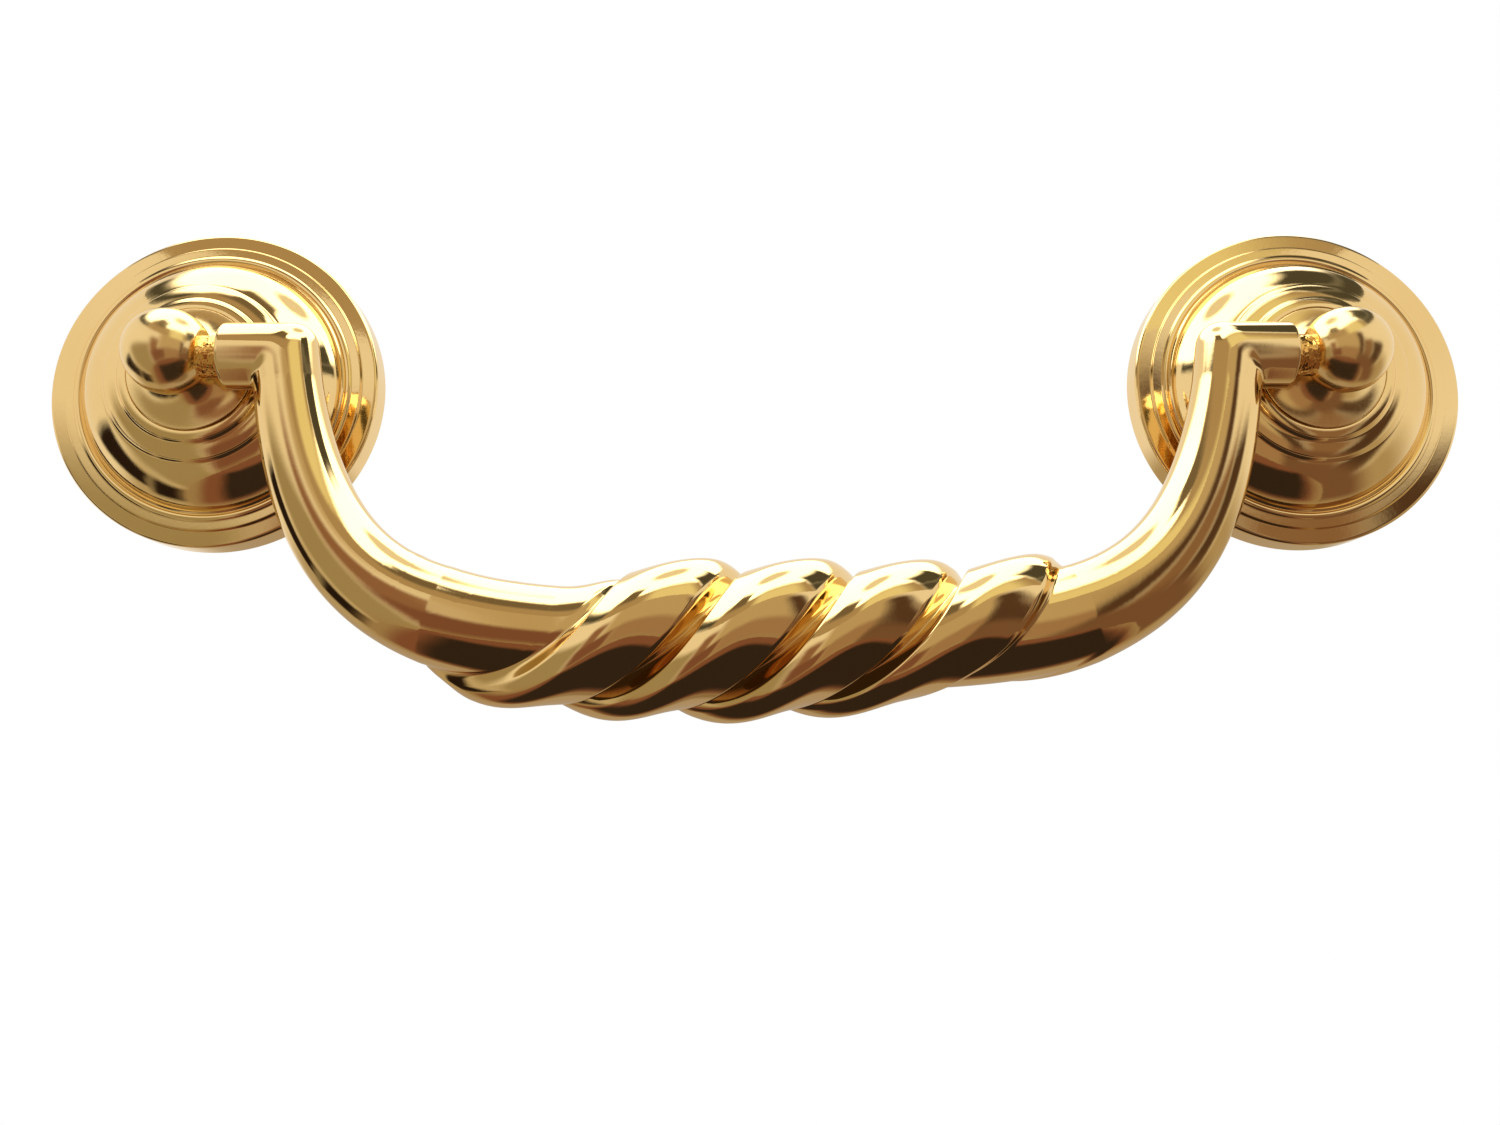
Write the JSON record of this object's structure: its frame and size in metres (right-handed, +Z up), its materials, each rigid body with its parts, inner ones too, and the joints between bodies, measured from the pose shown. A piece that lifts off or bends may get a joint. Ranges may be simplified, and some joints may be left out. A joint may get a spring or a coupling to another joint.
{
  "type": "drop bail pull",
  "caption": "Polished gold drawer pull: round stepped roses, ball-headed posts and a swinging swan-neck bail with a rope-twist grip.",
  "frame": {"origin": "midway between the axes of the two posts, on the plane of the drawer face that both roses seat on", "axes": "+X along the grip from the left post to the right one, +Y into the drawer along the screws, +Z up; the front faces -Y"},
  "size_m": [0.1248, 0.0182, 0.0445],
  "materials": {
    "rose_brass": "mirror polished, gold coloured",
    "post_brass": "mirror polished, gold coloured",
    "bail_brass": "mirror polished, gold coloured"
  },
  "bodies": {
    "fixed_posts": {"rose_left": "rose_brass", "post_left": "post_brass", "rose_right": "rose_brass", "post_right": "post_brass"},
    "bail": {"bail": "bail_brass"}
  },
  "joints": [
    {"name": "bail_swing", "type": "hinge", "parent": "fixed_posts", "child": "bail", "pos_m": [0, -0.01176, -0.00045], "axis": [-1, 0, 0], "range_deg": [-12, 190]}
  ]
}
